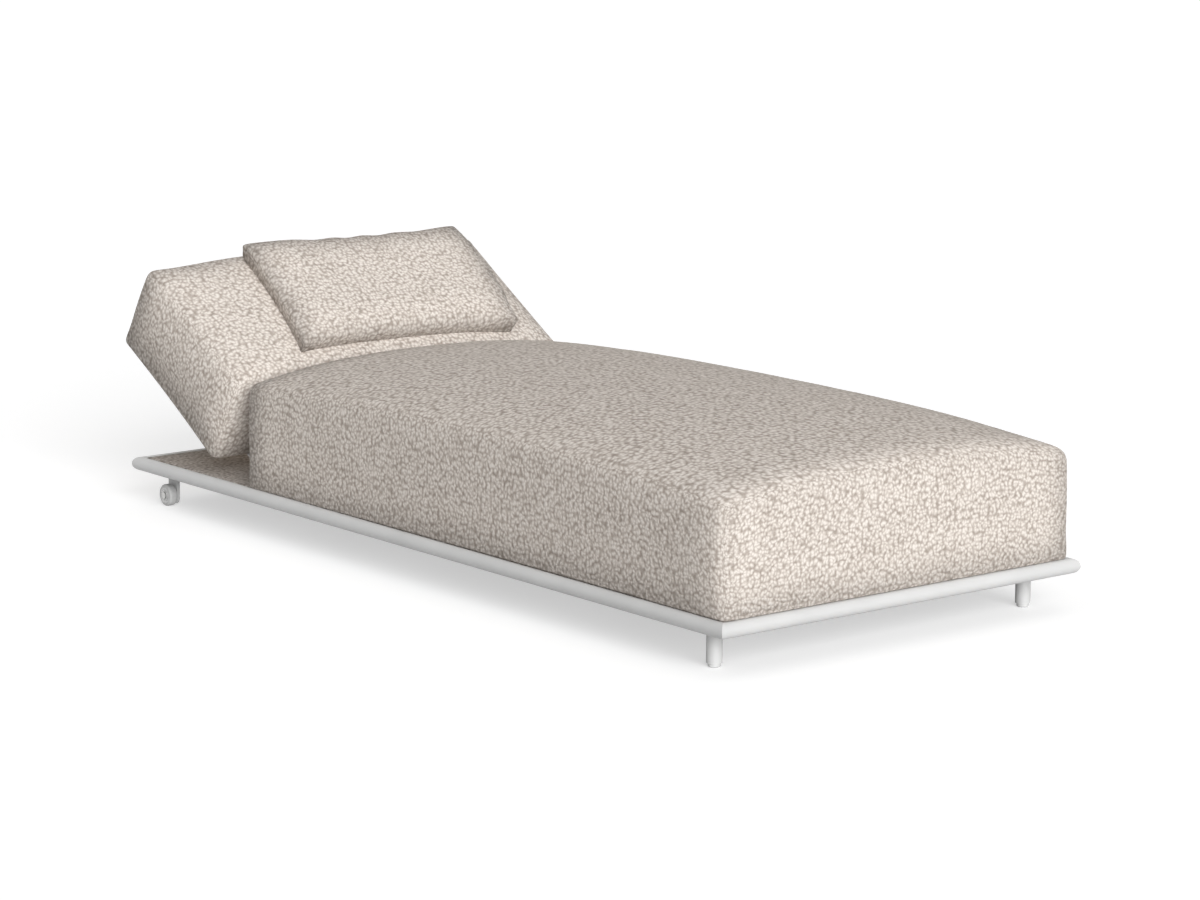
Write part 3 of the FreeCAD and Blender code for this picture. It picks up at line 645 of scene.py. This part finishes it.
# Two sheets over one seam outline. Their height is the swell times ((1 - a^8)(1 - b^8))^0.29,
# with a lower power towards the corners, the front ones most, which makes them blunt. The upper
# one bulges past the seam where it is about half as high. The outline draws in between the
# corners by (1 - a^2) and (1 - b^2), or out on the right, the corners reach out as ears by
# (ab)^14, up as well at the head, and puckers run in from the seam. The lower sheet stays on the
# back.
def pillowForm(form):
    a, b = np.meshgrid(*(easeToEnds(np.linspace(-1, 1, cells + 1), form["ease"])
                         for cells in form["cells"]), indexing="ij")
    wide, deep = form["width"] / 2, form["depth"] / 2
    blunt = form["blunt"] * (3 - b) / 4 * np.abs(a * b) ** form["bluntPower"]
    steep = form["steep"] * (1 - blunt)
    fullness = ((1 - np.abs(a) ** form["square"]) * (1 - np.abs(b) ** form["square"])) ** steep
    corner = np.abs(a * b) ** form["earPower"]
    inward = np.where(a > 0, -form["swell"], form["draw"])
    endInward = form["endDraw"] * form["draw"]
    x = a * wide * (1 - inward * (1 - b ** 2)) + np.sign(a) * form["ear"] * corner
    y = b * deep * (1 - endInward * (1 - a ** 2)) + np.sign(b) * form["ear"] * corner
    nearSides, nearEnds = np.abs(a) ** form["rimPower"], np.abs(b) ** form["rimPower"]
    wave = puckersAlong(a, *form["frontPuckers"]) * nearEnds
    wave = wave + puckersAlong(b, *form["sidePuckers"]) * nearSides
    hem = (1 - fullness) ** form["hemPower"]
    seam = 2 * form["pucker"] * wave * hem + form["earLift"] * corner * (b > 0)
    cosT, sinT = math.cos(form["turn"]), math.sin(form["turn"])
    cosL, sinL = math.cos(form["lean"]), math.sin(form["lean"])
    peak = topGrid[:, :, 2].max() + form["seamHeight"]
    front = back["middle"] - back["length"] / 2
    sheets, frees, cuts = [], [], []
    for swell in (form["over"], -form["under"]):
        z = seam + swell * fullness + form["pucker"] * wave * np.sqrt(fullness) * (1 - fullness) * 4
        wall = form["bulge"] * 4 * fullness * (1 - fullness) * (swell > 0)
        wideY = y + wall * np.sign(b) * nearEnds
        wideX = x + wall * np.sign(a) * nearSides + form["shear"] * y
        turnedX, turnedY = cosT * wideX - sinT * wideY, sinT * wideX + cosT * wideY
        px = form["middleX"] + turnedX
        py = front + form["fromFront"] + cosL * turnedY - sinL * z
        pz = peak + sinL * turnedY + cosL * z + math.tan(form["roll"]) * turnedX
        rest = backTop(px, py) + form["gap"]
        sheet = np.stack([px, py, np.maximum(pz, rest)], 2)
        flat = np.stack([lengthsAlong(sheet), lengthsAlong(sheet.transpose(1, 0, 2)).T], 2)
        sheets.append(sheet.reshape(-1, 3))
        frees.append(smoothStep(pz - rest, 0.0, form["clear"]).ravel())
        cuts.append(flat.reshape(-1, 2) + len(cuts))
    number = gridNumbers(form["cells"])
    upper = gridQuads(number)
    rim = (np.abs(a) == 1) | (np.abs(b) == 1)
    lower = gridQuads(np.where(rim, number, number + number.size))[:, ::-1]
    quads = np.concatenate([upper, lower])
    cut = np.concatenate([cuts[0][upper], cuts[1][upper][:, ::-1]])
    used, index = np.unique(quads, return_inverse=True)
    return np.concatenate(sheets)[used], index.reshape(-1, 4), cut, np.concatenate(frees)[used]


points, quads, cut, free = pillowForm(pillow)
loosePillow = meshPiece("loosePillow", points, quads, cloth, cut)
puffCover(loosePillow, pillow, free)
settled = coordinates(loosePillow)
settled[:, 2] = np.maximum(settled[:, 2], backTop(settled[:, 0], settled[:, 1]) + pillow["gap"])
setCoordinates(loosePillow, turnAboutHinge(settled, -flatAngle))
subdivide(loosePillow, 1)
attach(loosePillow, "backrest")
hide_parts("pillow_cover", "pillow_fill")
print("pillow made")

# Deck cloth
deckLow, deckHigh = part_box("deck_cover")
deck = {
    "cells": (84, 196),
    "edgeDrop": 0.0012,  # how far the edge is drawn down to the board
    "edgeReach": 0.006,
    "thickness": 0.0007,
}


# A level sheet whose rim is drawn down round a quarter circle of distance from the edge.
def deckForm(form):
    na, nb = form["cells"]
    x, y = np.meshgrid(np.linspace(deckLow.x, deckHigh.x, na + 1),
                       np.linspace(deckLow.y, deckHigh.y, nb + 1), indexing="ij")
    edge = np.minimum(np.minimum(x - deckLow.x, deckHigh.x - x),
                      np.minimum(y - deckLow.y, deckHigh.y - y))
    near = np.clip(1 - edge / form["edgeReach"], 0, 1)
    z = deckHigh.z - form["edgeDrop"] * (1 - np.sqrt(1 - near ** 2))
    points, quads = np.stack([x, y, z], 2).reshape(-1, 3), gridQuads(gridNumbers(form["cells"]))
    return points, quads, points[quads][:, :, :2]


points, quads, cut = deckForm(deck)
deckCloth = meshPiece("deckCloth", points, quads, cloth, cut)
wall = deckCloth.modifiers.new("thickness", "SOLIDIFY")
wall.thickness = deck["thickness"]
wall.offset = -1  # down from the sheet
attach(deckCloth, "base")
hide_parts("deck_cover")
print("deck cloth made")

# Floor, light and camera
railLow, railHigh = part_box("left_rail")
baseMiddle = (railLow.y + railHigh.y) / 2
studio = {
    "floorSize": 60.0,
    "floorColour": (0.60, 0.60, 0.60),
    "floorGlow": 0.52,  # added for what looks at the floor, so that it ends in white
    "floorRoughness": 0.9,
    "floorSpecular": 0.1,
    "dome": 0.26,
    "keyFrom": (-0.31, -0.87, 0.30),
    "key": 3.86,
    "keySpread": 40.0,
    "topFrom": (0.0, 0.1, 1.0),
    "top": 0.65,
    "topSpread": 80.0,
}
cameraSet = {
    "azimuth": math.radians(-38.02),
    "elevation": math.radians(10.72),
    "distance": 7.32,
    "target": Vector((-0.0659, baseMiddle - 0.1719, 0.250)),
    "focalPixels": 3640.0,
    "pictureWidth": 1200.0,
    "sensor": 36.0,
    "farthest": 200.0,
}
white = (1, 1, 1, 1)


# One for camera, glossy and transmission rays, which see the backdrop, and zero for the rest: the
# largest of the three.
def seenRays(tree):
    path = addNode(tree, "ShaderNodeLightPath")
    most = path.outputs["Is Camera Ray"]
    for ray in ("Is Glossy Ray", "Is Transmission Ray"):
        larger = addNode(tree, "ShaderNodeMath", operation="MAXIMUM")
        tree.links.new(most, larger.inputs[0])
        tree.links.new(path.outputs[ray], larger.inputs[1])
        most = larger.outputs[0]
    return most


world = bpy.data.worlds.new("studioWorld")
world.use_nodes = True
scene.world = world
tree = world.node_tree
dome = tree.nodes["Background"]
dome.inputs["Color"].default_value = white
dome.inputs["Strength"].default_value = studio["dome"]
backdrop = addNode(tree, "ShaderNodeBackground", {"Color": white, "Strength": 1.0})
choose = addNode(tree, "ShaderNodeMixShader")
tree.links.new(seenRays(tree), choose.inputs[0])
tree.links.new(dome.outputs[0], choose.inputs[1])
tree.links.new(backdrop.outputs[0], choose.inputs[2])
tree.links.new(choose.outputs[0], tree.nodes["World Output"].inputs["Surface"])

floorMaterial, tree, shader = newMaterial("paleFloor")
shader.inputs["Base Color"].default_value = (*studio["floorColour"], 1)
shader.inputs["Roughness"].default_value = studio["floorRoughness"]
shader.inputs["Specular IOR Level"].default_value = studio["floorSpecular"]
shader.inputs["Emission Color"].default_value = white
glow = addNode(tree, "ShaderNodeMath", {1: studio["floorGlow"]}, operation="MULTIPLY")
tree.links.new(seenRays(tree), glow.inputs[0])
tree.links.new(glow.outputs[0], shader.inputs["Emission Strength"])
reach = studio["floorSize"] / 2
corners = np.array([(-reach, -reach, 0), (reach, -reach, 0), (reach, reach, 0), (-reach, reach, 0)])
floor = meshPiece("floor", corners, np.array([(0, 1, 2, 3)]), floorMaterial)


# A wide soft lamp as far off as a sun, so that it falls evenly on the floor.
def softLamp(name, source, strength, spread):
    light = bpy.data.lights.new(name, "SUN")
    light.energy = strength
    light.angle = math.radians(spread)
    lamp = bpy.data.objects.new(name, light)
    scene.collection.objects.link(lamp)
    lamp.rotation_euler = Vector(source).to_track_quat("Z", "Y").to_euler()


softLamp("keyLight", studio["keyFrom"], studio["key"], studio["keySpread"])
softLamp("topLight", studio["topFrom"], studio["top"], studio["topSpread"])

azimuth, elevation = cameraSet["azimuth"], cameraSet["elevation"]
behind = Vector((math.sin(azimuth) * math.cos(elevation), -math.cos(azimuth) * math.cos(elevation),
                 math.sin(elevation)))
camera = bpy.data.cameras.new("camera")
camera.sensor_fit = "HORIZONTAL"
camera.sensor_width = cameraSet["sensor"]
camera.lens = cameraSet["focalPixels"] / cameraSet["pictureWidth"] * cameraSet["sensor"]
camera.clip_end = cameraSet["farthest"]
viewer = bpy.data.objects.new("camera", camera)
scene.collection.objects.link(viewer)
viewer.location = cameraSet["target"] + behind * cameraSet["distance"]
viewer.rotation_euler = (-behind).to_track_quat("-Z", "Y").to_euler()
scene.camera = viewer
scene.view_settings.view_transform = "Standard"
print("stage set")
